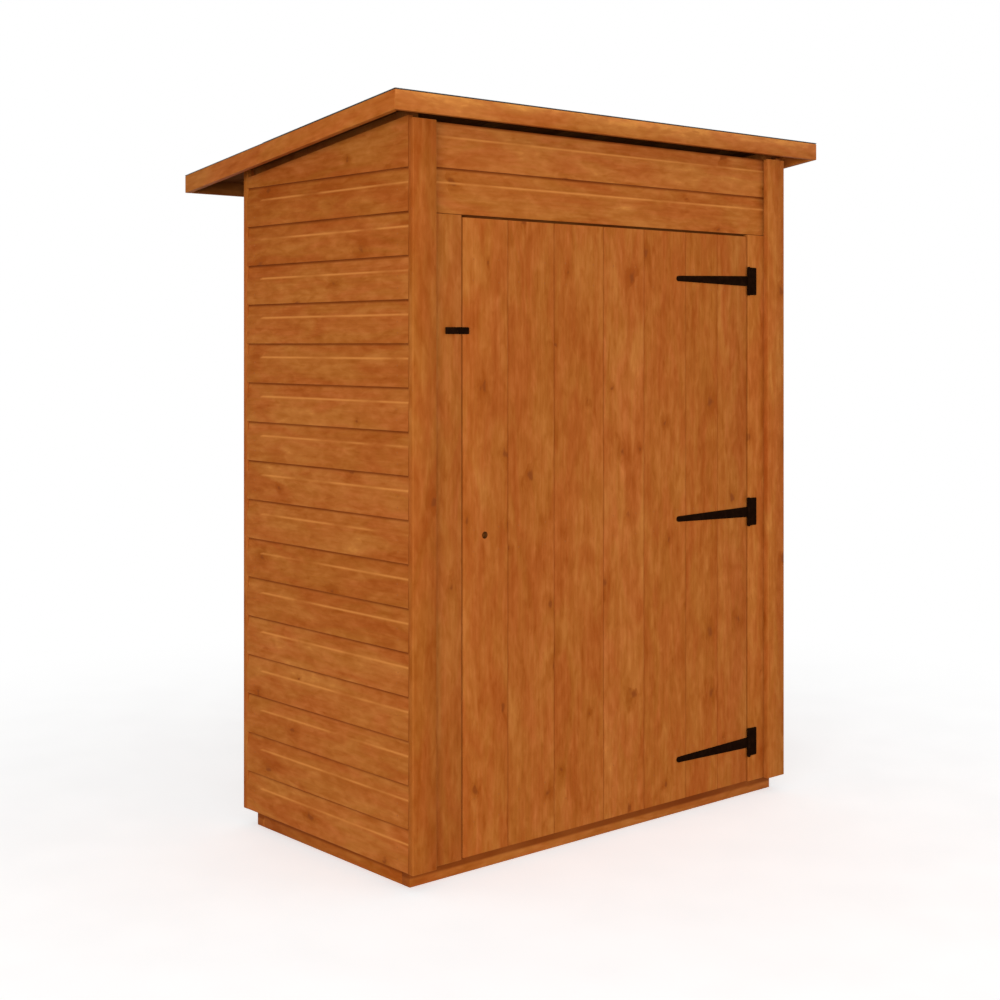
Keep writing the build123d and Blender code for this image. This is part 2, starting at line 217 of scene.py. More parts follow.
class ShedStage(PropertyGroup):
    """Camera and light."""

    camera_place: FloatVectorProperty(
        name="Camera place", description="Where the camera stands", default=(-2.6743, -3.0351, 1.1521),
        subtype="TRANSLATION")
    camera_turn: FloatProperty(
        name="Camera turn", description="Turn of the level camera about the vertical",
        default=math.radians(-40.984), subtype="ANGLE")
    lens: FloatProperty(name="Lens", description="Focal length", default=57.58, unit="CAMERA")
    sensor: FloatProperty(name="Sensor", description="Width of the sensor", default=36, unit="CAMERA")
    rise: FloatProperty(name="Lens shift", description="Shift that frames the shed", default=-0.1546)
    sky: FloatProperty(name="Sky", description="Strength of the light from all round", default=0.47)
    key: FloatProperty(
        name="Key light", description="Power of the large soft light", default=805, unit="POWER")
    key_place: FloatVectorProperty(
        name="Key place", description="Where the large soft light stands", default=(-8.0, -6.9, 1.3),
        subtype="TRANSLATION")
    key_size: FloatVectorProperty(
        name="Key size", description="Width and height of the large soft light", default=(8.0, 2.5), size=2)
    fill: FloatProperty(
        name="Fill light", description="Power of the light from the right", default=53, unit="POWER")
    fill_place: FloatVectorProperty(
        name="Fill place", description="Where the light from the right stands", default=(3.2, -4.6, 0.9),
        subtype="TRANSLATION")
    fill_size: FloatVectorProperty(
        name="Fill size", description="Width and height of the light from the right", default=(3.4, 1.5),
        size=2)
    aim: FloatVectorProperty(
        name="Aim", description="What the lights point at", default=(0, 0, 0.8), subtype="TRANSLATION")
    floor_radius: length("Floor radius", "Reach of the studio floor", 14)
    floor_glow: FloatProperty(name="Floor glow", description="Light that lifts the seen floor", default=0.5)
    white_from: length("White from", "Where the floor starts to turn white", 1.0)
    white_to: length("White to", "Where the floor is white", 2.6)


class Val:
    """A shader socket that Python's operators join to Math nodes."""

    def __init__(self, finish, socket):
        self.finish, self.socket = finish, socket

    def math(self, operation, *terms):
        return self.finish.node("ShaderNodeMath", {"operation": operation}, dict(enumerate(terms)))

    def __add__(self, other):
        return self.math("ADD", self, other)

    def __sub__(self, other):
        return self.math("SUBTRACT", self, other)

    def __rsub__(self, other):
        return self.math("SUBTRACT", other, self)

    def __mul__(self, other):
        return self.math("MULTIPLY", self, other)

    def __truediv__(self, other):
        return self.math("DIVIDE", self, other)

    def __rtruediv__(self, other):
        return self.math("DIVIDE", other, self)

    def __pow__(self, other):
        return self.math("POWER", self, other)

    def __rpow__(self, other):
        return self.math("POWER", other, self)

    def __gt__(self, other):
        return self.math("GREATER_THAN", self, other)

    __radd__, __rmul__ = __add__, __mul__

    def output(self, which):
        """Another output of the same node."""
        return Val(self.finish, self.socket.node.outputs[which])


class Finish:
    """The nodes of one material, or of the world, written as expressions."""

    def __init__(self, owner):
        self.owner = owner
        owner.use_nodes = True
        self.tree = owner.node_tree
        self.tree.nodes.clear()

    def node(self, kind, settings=None, sockets=None, output=0):
        """Adds a node: its settings first, then its sockets' values or links."""
        made = self.tree.nodes.new(kind)
        for name, value in (settings or {}).items():
            if name == "stops":
                stops = made.color_ramp.elements
                while len(stops) < len(value):
                    stops.new(1)
                for stop, (place, shade) in zip(stops, value):
                    stop.position, stop.color = place, (*shade, 1)
            else:
                setattr(made, name, value)
        for name, value in (sockets or {}).items():
            if isinstance(value, Val):
                self.tree.links.new(value.socket, made.inputs[name])
            else:
                made.inputs[name].default_value = value
        return Val(self, made.outputs[output]) if made.outputs else made

    def attribute(self, name, output):
        return self.node("ShaderNodeAttribute", {"attribute_name": name}, output=output)

    def place(self):
        """Object coordinates."""
        return self.node("ShaderNodeTexCoord", output="Object")

    def stretch(self, vector, by):
        return self.node("ShaderNodeVectorMath", {"operation": "MULTIPLY"}, {0: vector, 1: by})

    def split(self, vector):
        parts = self.node("ShaderNodeSeparateXYZ", sockets={0: vector})
        return parts, parts.output(1), parts.output(2)

    def noise(self, vector, by, detail=2.0, warp=0.0):
        """Noise about zero, stretched by a vector of counts per metre."""
        sockets = {"Vector": self.stretch(vector, by), "Scale": 1.0, "Detail": detail, "Distortion": warp}
        return self.node("ShaderNodeTexNoise", sockets=sockets) - 0.5

    def wander(self, vector, by, reach):
        """Vector pushed about by noise, up to half the reach each way."""
        sockets = {"Vector": self.stretch(vector, by), "Scale": 1.0, "Detail": 1.0}
        push = self.node("ShaderNodeTexNoise", sockets=sockets, output="Color")
        scaled = {0: push, 1: (reach, reach, reach), 2: vector}
        return self.node("ShaderNodeVectorMath", {"operation": "MULTIPLY_ADD"}, scaled)

    def between(self, value, low, high):
        """Eased share of the way from low to high."""
        sockets = {"Value": value, "From Min": low, "From Max": high}
        return self.node("ShaderNodeMapRange", {"interpolation_type": "SMOOTHSTEP"}, sockets)

    def ramp(self, share, *stops):
        return self.node("ShaderNodeValToRGB", {"stops": stops}, {0: share})

    def mix(self, share, first, second):
        """Colour between two others."""
        def four(shade):
            return shade if isinstance(shade, Val) else (*shade, 1)
        sockets = {0: share, 6: four(first), 7: four(second)}
        return self.node("ShaderNodeMix", {"data_type": "RGBA"}, sockets, 2)

    def bump(self, height, distance, strength=1.0):
        sockets = {"Height": height, "Distance": distance, "Strength": strength}
        return self.node("ShaderNodeBump", sockets=sockets)

    def surface(self, **sockets):
        """Ends the material in a Principled shader; a socket's spaces are written as underscores."""
        named = {name.replace("_", " "): value for name, value in sockets.items()}
        shader = self.node("ShaderNodeBsdfPrincipled", sockets=named)
        return self.close(shader, "ShaderNodeOutputMaterial")

    def close(self, shader, kind):
        self.node(kind, sockets={"Surface": shader})
        return self.owner


def stained_softwood(colours):
    """Dip-stained softwood: patches, streaks, rings and small knots that follow each board."""
    finish = Finish(bpy.data.materials.new("stained_softwood"))
    grain = finish.attribute("grain", "Vector")
    joint, arris, end = finish.split(finish.attribute("marks", "Vector"))
    tone = finish.attribute("tone", "Fac")
    dark = finish.attribute("dark", "Fac")
    across, depth = finish.split(grain)[1:]

    bent = finish.stretch(finish.wander(grain, (45, 60, 60), 0.02), (7.0, 10.0, 1.0))
    cell = finish.node("ShaderNodeTexVoronoi", {"voronoi_dimensions": "2D"}, {"Vector": bent, "Scale": 1.0})
    pick = finish.node("ShaderNodeSeparateColor", {}, {0: cell.output("Color")})
    chosen = pick > 0.72
    spread = cell / (0.4 + pick.output(1)) + finish.noise(grain, (28, 70, 40), 2) * 0.16
    halo = finish.between(spread, 0.30, 0.04) * chosen
    core = finish.between(spread, 0.085, 0.02) * chosen

    drift = finish.noise(grain, (1.3, 6, 6))
    round_pith = (across * across + depth * depth) ** 0.5 + drift * 0.02 + halo * 0.012
    rings = round_pith / 0.0065
    late = rings.math("FRACT", rings) ** 2.5
    fibre = finish.noise(grain, (16, 150, 150), 2)
    streak = finish.noise(grain, (8, 48, 48), 2.5, 0.5)
    mottle = finish.noise(grain, (26, 65, 45), 2.5, 0.4)
    patch = finish.noise(grain, (5, 22, 14), 2.5, 0.9)
    cloud = finish.noise(grain, (2.5, 6, 5), 1)
    hue = finish.noise(grain, (5, 20, 12), 2.5, 0.8)
    smudge = finish.between(finish.noise(grain, (16, 55, 40), 2, 0.6), 0.08, 0.26)

    broad = tone * 0.06 + patch * 0.65 + cloud * 0.30 + mottle * 0.70
    fine = streak * 0.40 + fibre * 0.22 - late * 0.06
    level = 0.42 + broad + fine - halo * 0.24 - smudge * 0.16
    shade = finish.ramp(
        level, (0.06, colours.deep), (0.38, colours.stain), (0.68, colours.pale), (0.96, colours.painted_highlight))
    redder = finish.stretch(shade, (1.025, 0.945, 1.02))
    greener = finish.stretch(shade, (0.98, 1.055, 0.975))
    shade = finish.mix(finish.between(hue, -0.2, 0.2), redder, greener)
    shade = finish.mix(core * 0.8, shade, colours.knot)
    shade = finish.mix(end * 0.7, shade, colours.end)
    # Painted highlight along the arrises, broken up by noise
    highlighted = arris * finish.between(finish.noise(grain, (7, 3, 3), 1), -0.3, 0.08)
    shade = finish.mix(highlighted * 0.85, shade, colours.painted_highlight)
    # Stain gathered in the joints, and painted shadow on the plinth under the walls
    joint_stain_and_shadow = finish.between(joint, 0.05, 0.95) * (0.85 + finish.noise(grain, (5, 2, 2), 2) * 0.9)
    shade = finish.mix(joint_stain_and_shadow, shade, colours.joint)
    # Painted shade: marked timber is darkened to a share of its colour
    shade = finish.mix(dark, shade, finish.stretch(shade, (colours.painted_shade_level,) * 3))

    rough = 0.66 + fibre * 0.18 - core * 0.12 + dark * 0.3
    relief = fibre * 0.5 - late * 0.35 + streak * 0.3
    return finish.surface(
        Base_Color=shade, Roughness=rough, Specular_IOR_Level=0.1, IOR=1.3,
        Normal=finish.bump(relief, 0.0005, 0.6))


def black_ironwork(colours):
    """Black painted steel with a faint orange peel."""
    finish = Finish(bpy.data.materials.new("black_ironwork"))
    place = finish.place()
    peel = finish.noise(place, (900, 900, 900), 2)
    wear = finish.noise(place, (60, 60, 60), 3)
    paler = tuple(channel * 1.8 for channel in colours.iron)
    shade = finish.mix(finish.between(wear, -0.1, 0.3), colours.iron, paler)
    return finish.surface(
        Base_Color=shade, Roughness=0.7 + wear * 0.3, Specular_IOR_Level=0.0, IOR=1.1,
        Normal=finish.bump(peel, 0.0002, 0.4))


def dulled_metal(name, shade, count, dark_share, rough, **sockets):
    """Metal clouded with a darker shade, so many times a metre."""
    finish = Finish(bpy.data.materials.new(name))
    cloud = finish.noise(finish.place(), (count,) * 3, 3)
    darker = tuple(channel * dark_share for channel in shade)
    clouded = finish.mix(finish.between(cloud, -0.2, 0.2), darker, shade)
    return finish.surface(Base_Color=clouded, Roughness=rough + cloud * 0.3, **sockets)


def nail_steel(colours):
    """Nail heads dipped with the boards."""
    return dulled_metal("nail_steel", colours.nail, 240, 0.85, 0.6, Specular_IOR_Level=0.15)


def clout_zinc(colours):
    """Galvanised felt nails gone dull."""
    return dulled_metal("clout_zinc", colours.clout, 320, 0.6, 0.55, Metallic=0.8)


def mineral_felt(colours):
    """Bitumen felt under a coat of mineral grains."""
    finish = Finish(bpy.data.materials.new("mineral_felt"))
    place = finish.place()
    grains = finish.node("ShaderNodeTexVoronoi", {}, {"Vector": place, "Scale": 620.0})
    speck = finish.node("ShaderNodeSeparateColor", {}, {0: grains.output("Color")})
    wash = finish.noise(place, (3, 7, 3), 3)
    darker = tuple(channel * 0.45 for channel in colours.felt)
    shade = finish.mix(finish.between(speck, 0.0, 0.5), darker, colours.felt)
    shade = finish.mix(finish.between(speck, 0.72, 1.0) * (0.55 + wash * 0.8), shade, colours.felt_light)
    return finish.surface(
        Base_Color=shade, Roughness=0.92 - speck * 0.1, Specular_IOR_Level=0.25,
        Normal=finish.bump(grains * -1, 0.0012, 0.8))


FINISHES = {
    make.__name__: make for make in (stained_softwood, black_ironwork, nail_steel, clout_zinc, mineral_felt)}


def finish_named(name):
    """One of the shed's finishes, made the first time it is asked for."""
    return bpy.data.materials.get(name) or FINISHES[name](bpy.context.scene.shed_colours)


def show(name, bm, finish, body, nodes=()):
    """Makes a mesh into a piece that rides on a body and stands for its CAD nodes."""
    mesh = bpy.data.meshes.new(name)
    for face in bm.faces:
        face.smooth = True
    bm.to_mesh(mesh)
    bm.free()
    mesh.set_sharp_from_angle(angle=SMOOTH_BELOW)
    mesh.materials.append(finish_named(finish))
    piece = bpy.data.objects.new(name, mesh)
    bpy.context.scene.collection.objects.link(piece)
    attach(piece, body)
    if nodes:
        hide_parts(*nodes)


def show_iron(name, bm, body, node):
    """Makes a mesh into a piece of the ironwork."""
    show(name, bm, "black_ironwork", body, [node])


def everything(bm):
    """All of a mesh, as the bmesh operators take it."""
    return bm.verts[:] + bm.edges[:] + bm.faces[:]


def put(bm, part, place, keep=False):
    """Adds a drawn part to a mesh, moved to its place. One that is used again is kept."""
    mesh = bpy.data.meshes.new("part")
    part.to_mesh(mesh)
    mesh.transform(place)
    bm.from_mesh(mesh)
    bpy.data.meshes.remove(mesh)
    if not keep:
        part.free()


def span(low, high, **sides):
    """Two corners of a box, with the start and end of some of its sides changed."""
    low, high = low.copy(), high.copy()
    for axis, (start, end) in sides.items():
        setattr(low, axis, start)
        setattr(high, axis, end)
    return low, high


def laid(origin, along, across):
    """Place of a board whose corner is at origin."""
    turn = Matrix((along, across, along.cross(across))).transposed()
    return Matrix.Translation(origin) @ turn.to_4x4()


def saw(bm, point, normal, place):
    """Takes off what lies beyond a plane of the shed and closes the cut."""
    point = place.inverted() @ point
    normal = place.to_3x3().transposed() @ normal
    bmesh.ops.bisect_plane(bm, geom=everything(bm), plane_co=point, plane_no=normal, clear_outer=True)
    bmesh.ops.holes_fill(bm, edges=[edge for edge in bm.edges if edge.is_boundary])


def score(bm, axis, *places):
    """Cuts a line of edges round a mesh at each place along an axis."""
    for at in places:
        bmesh.ops.bisect_plane(bm, geom=everything(bm), plane_co=axis * at, plane_no=axis)


def bevel(bm, edges, offset, segments=2, clamp_overlap=False):
    """Rounds edges."""
    bmesh.ops.bevel(
        bm, geom=edges, offset=offset, offset_type="OFFSET", affect="EDGES", segments=segments, profile=0.5,
        material=-1, clamp_overlap=clamp_overlap)


def thicken(bm, faces, along):
    """Draws a flat outline out into a solid."""
    swept = bmesh.ops.extrude_face_region(bm, geom=faces, use_keep_orig=True)
    moved = [item for item in swept["geom"] if isinstance(item, bmesh.types.BMVert)]
    bmesh.ops.translate(bm, vec=along, verts=moved)
    bmesh.ops.recalc_face_normals(bm, faces=bm.faces[:])


def bar(size, ease):
    """Planed timber with eased edges, one corner at the origin."""
    bm = bmesh.new()
    corner = Matrix.Translation((0.5, 0.5, 0.5))
    bmesh.ops.create_cube(bm, size=1, matrix=Matrix.Diagonal((*size, 1)) @ corner)
    bevel(bm, bm.edges[:], ease)
    return bm


class Section:
    """Draws a board's cross-section, as (across, depth) points, and runs it along X."""

    def __init__(self, start):
        self.bm = bmesh.new()
        self.first = self.tip = self.bm.verts.new((0, *start))

    def to(self, *points):
        """Straight lines from the tip to each point in turn."""
        for point in points:
            self.tip = bmesh.ops.extrude_vert_indiv(self.bm, verts=[self.tip])["verts"][0]
            self.tip.co = (0, *point)

    def arc(self, centre, angle, steps=9):
        """Arc from the tip about a centre."""
        swept = bmesh.ops.spin(
            self.bm, geom=[self.tip], cent=(0, *centre), axis=X, angle=angle, steps=steps, use_merge=False)
        self.tip = next(item for item in swept["geom_last"] if isinstance(item, bmesh.types.BMVert))

    def run(self, reach):
        """Closes the section, runs it along and bands both ends for the end grain."""
        bm = self.bm
        bm.edges.new((self.tip, self.first))
        thicken(bm, bmesh.ops.contextual_create(bm, geom=bm.edges[:])["faces"], X * reach)
        score(bm, X, END_BAND, reach - END_BAND)
        return bm


def no_marks(point):
    """Joint, arris highlight and painted shade marks of a plain timber."""
    return 0, 0, 0


def painted_shade_all(point, size):
    """Marks of a timber up under the roof: painted shade all over."""
    return 0, 0, 1


def painted_shade_slot(point, size):
    """Marks of a timber that shows in the slot under the roof: painted shade at the slot's strength."""
    return 0, 0, SLOT_PAINTED_SHADE


def painted_shade_back(point, size):
    """Marks of a timber whose inward face is darkened as painted shade."""
    return 0, 0, point.z > size[2] / 2


class Timber:
    """Gathers the boards of one piece, each with its own run of grain.

    Lean is the change of tone across a board.
    """

    log_reach = (4, 90)
    pith_shares = (-0.2, 1.2)
    pith_depths = (0.03, 0.11)
    tone_limit = 2

    def __init__(self, seed, tone=0.0, lean=0.0):
        self.chance = random.Random(seed)
        self.tone, self.lean = tone, lean
        self.bm = bmesh.new()

    def lay(self, board, place, marks=no_marks):
        """Writes a board's grain in its own frame, then adds it to the piece."""
        reach = max(vert.co.x for vert in board.verts)
        width = max(vert.co.y for vert in board.verts)
        chance = self.chance
        pith = Vector((
            chance.uniform(*self.log_reach),
            -width * chance.uniform(*self.pith_shares),
            chance.choice((-1, 1)) * chance.uniform(*self.pith_depths)))
        shade = self.tone + max(-self.tone_limit, min(self.tone_limit, chance.gauss(0, 1)))
        # The joint mark also carries painted shadow, the arris mark a painted highlight, and the last mark
        # painted shade
        grain = board.verts.layers.float_vector.new("grain")
        marked = board.verts.layers.float_vector.new("marks")
        tone = board.verts.layers.float.new("tone")
        dark = board.verts.layers.float.new("dark")
        for vert in board.verts:
            at_end = vert.co.x < NEAR or vert.co.x > reach - NEAR
            joint, arris, vert[dark] = marks(vert.co)
            vert[grain] = vert.co + pith
            vert[marked] = (joint, arris, at_end)
            vert[tone] = shade + self.lean * vert.co.y / width
        put(self.bm, board, place)

    def square(self, low, high, along, across, ease, cuts=(), slope=None, marks=None, lines=()):
        """Lays a planed timber between two corners of the shed, sawn off at planes and scored at lines."""
        spread = high - low
        inward = along.cross(across)
        size = [abs(spread.dot(axis)) for axis in (along, across, inward)]
        corner = Vector(low[i] if (along + across + inward)[i] > 0 else high[i] for i in range(3))
        place = laid(corner, along, across)
        board = bar(size, ease)
        for point, normal in cuts:
            saw(board, point, normal, place)
        for axis, at in lines:
            score(board, axis, at)

        def marked(point):
            if marks:
                return marks(point, size)
            # Painted highlight along the middle of each eased edge
            on_round = all(ease / 9 < point[i] < size[i] - ease / 9 for i in range(3))
            return 0, EDGE_HIGHLIGHT * on_round, 0
        self.lay(board, slope @ place if slope else place, marked)

    def show(self, name, node, body="shed"):
        """Makes the boards into the piece that stands for a CAD node."""
        show(name, self.bm, "stained_softwood", body, [node])


def shiplap(sizes, cover, reach, scooped):
    """One shiplap board: lip at its foot, flat face, scoop and tongue. A wall's top board ends flat."""
    thickness, drop, depth = sizes.thickness, sizes.scoop_height, sizes.scoop_depth
    ease = sizes.ease / 2
    lip, rebate = depth - sizes.lip_slack, sizes.lap + sizes.lap_slack
    section = Section((sizes.joint_gap + ease, 0))
    if scooped:
        radius = (depth ** 2 + drop ** 2) / (2 * depth)
        section.to((cover - drop - sizes.arris, 0), (cover - drop, 0))
        section.arc((cover, depth - radius), -math.asin(drop / radius))
        section.to((cover + sizes.lap, depth + sizes.tongue_set), (cover + sizes.lap, thickness))
    else:
        section.to((cover, 0), (cover, thickness))
    section.to((rebate, thickness), (rebate, lip), (sizes.joint_gap, lip), (sizes.joint_gap, ease))
    board = section.run(reach)
    score(board, X, reach - sizes.fade, reach - sizes.fade * FADE_END_SHARE)
    return board


def clad(timber, sizes, cover, origin, along, reach, feet, cut, plain_top, painted_foot_light):
    """Boards of a wall, each from its foot, sawn off at a plane. A plain one may top them."""
    point, normal = cut
    fade_middle = sizes.fade * (1 + FADE_END_SHARE) / 2
    for foot in feet:
        # Painted light: paler tone towards the lowest board
        timber.tone = painted_foot_light * (0.5 - (foot - feet[0]) / (feet[-1] - feet[0]))
        scooped = not plain_top or foot < feet[-1]
        height = cover if scooped else point.z - foot + sizes.lap
        place = laid(Vector((origin.x, origin.y, foot)), along, Z)
        board = shiplap(sizes, height, reach, scooped)
        saw(board, point, normal, place)
        arris = height - sizes.scoop_height

        def marks(at):
            at_foot = at.y < sizes.joint_gap + NEAR
            under_lip = max(0, min(1, 1 - (height - at.y) / sizes.joint_stain)) if scooped else 0
            # Painted highlight on the scoop's arris, left off near the board's far end
            painted_highlight = scooped and at.z < MM and at.x < reach - fade_middle
            return max(at_foot, under_lip), painted_highlight and abs(at.y - arris) < NEAR, 0
        timber.lay(board, place, marks)


class SHED_OT_cladding(Operator):
    """Build the shiplap boards of the walls and over the door"""

    bl_idname = "shed.cladding"
    bl_label = "Wall boards"

    def execute(self, context):
        sizes = context.scene.shed_boards
        inner = wall_high.x
        depth = wall_high.y - wall_low.y
        width = right_low.x - inner
        walls = (
            ("left", Vector((wall_low.x, front_y, 0)), Y, depth),
            ("right", Vector((right_high.x, wall_high.y, 0)), -Y, depth),
            ("back", Vector((inner, wall_high.y, 0)), X, width),
            ("header", Vector((right_low.x, header_low.y, 0)), -X, width),
        )
        for seed, (name, origin, along, reach) in enumerate(walls, 11):
            timber = Timber(seed)
            low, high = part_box(f"{name}_cladding")
            is_wall = name != "header"
            count = sizes.courses + 1 if is_wall else sizes.header_courses
            cover = sizes.cover if is_wall else (high.z - low.z) / count
            cut = (Vector((0, low.y, high.z)), roof_normal if is_wall else Z)
            feet = [low.z + cover * i for i in range(count)]
            painted_foot_light = sizes.painted_foot_light if is_wall else 0
            clad(timber, sizes, cover, origin, along, reach, feet, cut, is_wall, painted_foot_light)
            timber.show(f"{name}_wall_boards", f"{name}_cladding")
        return {"FINISHED"}


class SHED_OT_floor(Operator):
    """Build the bearers, the joists and the floor boards"""

    bl_idname = "shed.floor"
    bl_label = "Floor"

    def execute(self, context):
        sizes = context.scene.shed_boards
        bearer_drop, joist_drop, fade = 22 * MM, 17 * MM, 7 * MM
        plank_gap = 0.8 * MM
        low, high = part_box("floor_bearers")
        shown = wall_low.z - low.z

        def painted_shadow_under_walls(drop):
            """Painted shadow under the walls: the top of a plinth timber darkened with the joint colour,
            down to a drop below the foot of the walls.
            """
            foot = shown - drop

            def marks(point, size):
                return point.y > foot + fade - MM, 0, 0
            return {"marks": marks, "lines": [(Y, foot), (Y, foot + fade)]}

        bearers = Timber(21)
        for y in (low.y, high.y - sizes.bearer):
            corners = span(low, high, y=(y, y + sizes.bearer))
            bearers.square(*corners, -X, Z, sizes.ease, **painted_shadow_under_walls(bearer_drop))
        bearers.show("ground_bearers", "floor_bearers")

        low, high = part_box("floor_joists")
        joists = Timber(22)
        for x in (low.x, (low.x + high.x - sizes.bearer) / 2, high.x - sizes.bearer):
            corners = span(low, high, x=(x, x + sizes.bearer))
            joists.square(*corners, Y, Z, sizes.ease, **painted_shadow_under_walls(joist_drop))
        joists.show("ground_joists", "floor_joists")

        low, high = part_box("floor_boards")
        planks = Timber(23)
        step = (high.y - low.y) / sizes.floor_boards
        for i in range(sizes.floor_boards):
            near, far = low.y + i * step, low.y + (i + 1) * step - plank_gap
            planks.square(*span(low, high, y=(near, far)), -X, Y, sizes.ease)
        planks.show("floor_planks", "floor_boards")
        return {"FINISHED"}


class SHED_OT_framing(Operator):
    """Build the studs, rails and door posts inside the walls"""

    bl_idname = "shed.framing"
    bl_label = "Wall framing"

    def execute(self, context):
        sizes = context.scene.shed_boards
        width, ease = sizes.stud, sizes.ease
        head_height, fade = 0.06, 5 * MM

        # Painted shade on the head of a stud, where it shows in the slot under the roof
        def painted_shade_head(point, size):
            return 0, 0, SLOT_PAINTED_SHADE * (point.x > head + MM)

        def uprights(seed, name, node):
            low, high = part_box(node)
            timber = Timber(seed)
            for x in (low.x, high.x - width):
                timber.square(*span(low, high, x=(x, x + width)), Z, X, ease)
            timber.show(name, node)

        for seed, side in enumerate(("left", "right"), 31):
            low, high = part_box(f"{side}_studs")
            studs = Timber(seed)
            for y in (low.y, high.y - width):
                head = roof_underside(y + width) - low.z - head_height
                corners = span(low, high, y=(y, y + width), z=(low.z, front_height))
                lines = [(X, head), (X, head + fade)]
                studs.square(*corners, Z, Y, ease, [roof_cut], marks=painted_shade_head, lines=lines)
            studs.show(f"{side}_wall_studs", f"{side}_studs")

            low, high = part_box(f"{side}_rails")
            rails = Timber(seed + 2)
            middle = low.z + (roof_underside(high.y) - low.z) / 2
            for z in (low.z, middle):
                rails.square(*span(low, high, z=(z, z + width)), Y, Z, ease)
            # The sloped top rail shows in the slot under the roof and gets painted shade
            rails.square(*span(low, high, z=(-width, 0)), Y, Z, ease, slope=on_slope, marks=painted_shade_slot)
            rails.show(f"{side}_wall_rails", f"{side}_rails")

        uprights(35, "back_wall_studs", "back_studs")
        low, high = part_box("back_rails")
        rails = Timber(36)
        rails.square(*span(low, high, z=(low.z, low.z + width)), X, Z, ease)
        top = (roof_underside(high.y) - width, front_height)
        rails.square(*span(low, high, z=top), X, Z, ease, [roof_cut])
        rails.show("back_wall_rails", "back_rails")

        uprights(37, "door_frame_posts", "door_posts")
        low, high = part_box("front_rails")
        rails = Timber(38)
        # Painted shade on the lower rail's front face, which shows through the gap over the door
        rails.square(*span(low, high, z=(low.z, low.z + width)), X, Z, ease, marks=painted_shade_back)
        rails.square(*span(low, high, z=(high.z - width, high.z)), X, Z, ease)
        rails.show("front_wall_rails", "front_rails")
        return {"FINISHED"}


class SHED_OT_trims(Operator):
    """Build the corner strips and the boards beside the door"""

    bl_idname = "shed.trims"
    bl_label = "Corner strips and jambs"

    def execute(self, context):
        sizes = context.scene.shed_boards
        tones = {"left_jamb_board": -1.5}
        strips = [f"{end}_{side}_corner_strip" for end in ("front", "back") for side in ("left", "right")]
        for seed, node in enumerate(strips + ["left_jamb_board", "right_jamb_board"], 41):
            low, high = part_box(node)
            timber = Timber(seed, tones.get(node, 0))
            across = -X if node.startswith("back") else X
            timber.square(low, high, Z, across, sizes.ease, [roof_cut] if node in strips else ())
            timber.show(f"{node}_timber", node)
        return {"FINISHED"}


def round_head(radius, height, slot=True):
    """Screw or nail head on the XY plane, domed up along Z, with a slot cut in it."""
    crown_share, dome_share = 0.72, 0.45
    slot_share, slot_depth_share, slot_lean_share, upward_share = 0.14, 0.35, 0.02, 0.3
    bm = bmesh.new()
    bmesh.ops.create_cone(
        bm, cap_ends=True, cap_tris=False, segments=16, radius1=radius, radius2=radius * crown_share,
        depth=height, matrix=Matrix.Translation((0, 0, height / 2)))
    top = max(bm.faces, key=lambda face: face.calc_center_median().z)
    bevel(bm, top.edges[:], height * dome_share)
    if slot:
        half = radius * slot_share
        score(bm, X, -half, half)
        cut = [
            face for face in bm.faces
            if abs(face.calc_center_median().x) < half and face.normal.z > upward_share]
        bmesh.ops.inset_region(
            bm, faces=cut, thickness=radius * slot_lean_share, depth=-height * slot_depth_share,
            use_even_offset=True)
    return bm


def facing(point, normal, turn=0.0):
    """Place of a head that stands on a face."""
    return (
        Matrix.Translation(point)
        @ normal.to_track_quat("Z", "Y").to_matrix().to_4x4()
        @ Matrix.Rotation(turn, 4, "Z"))


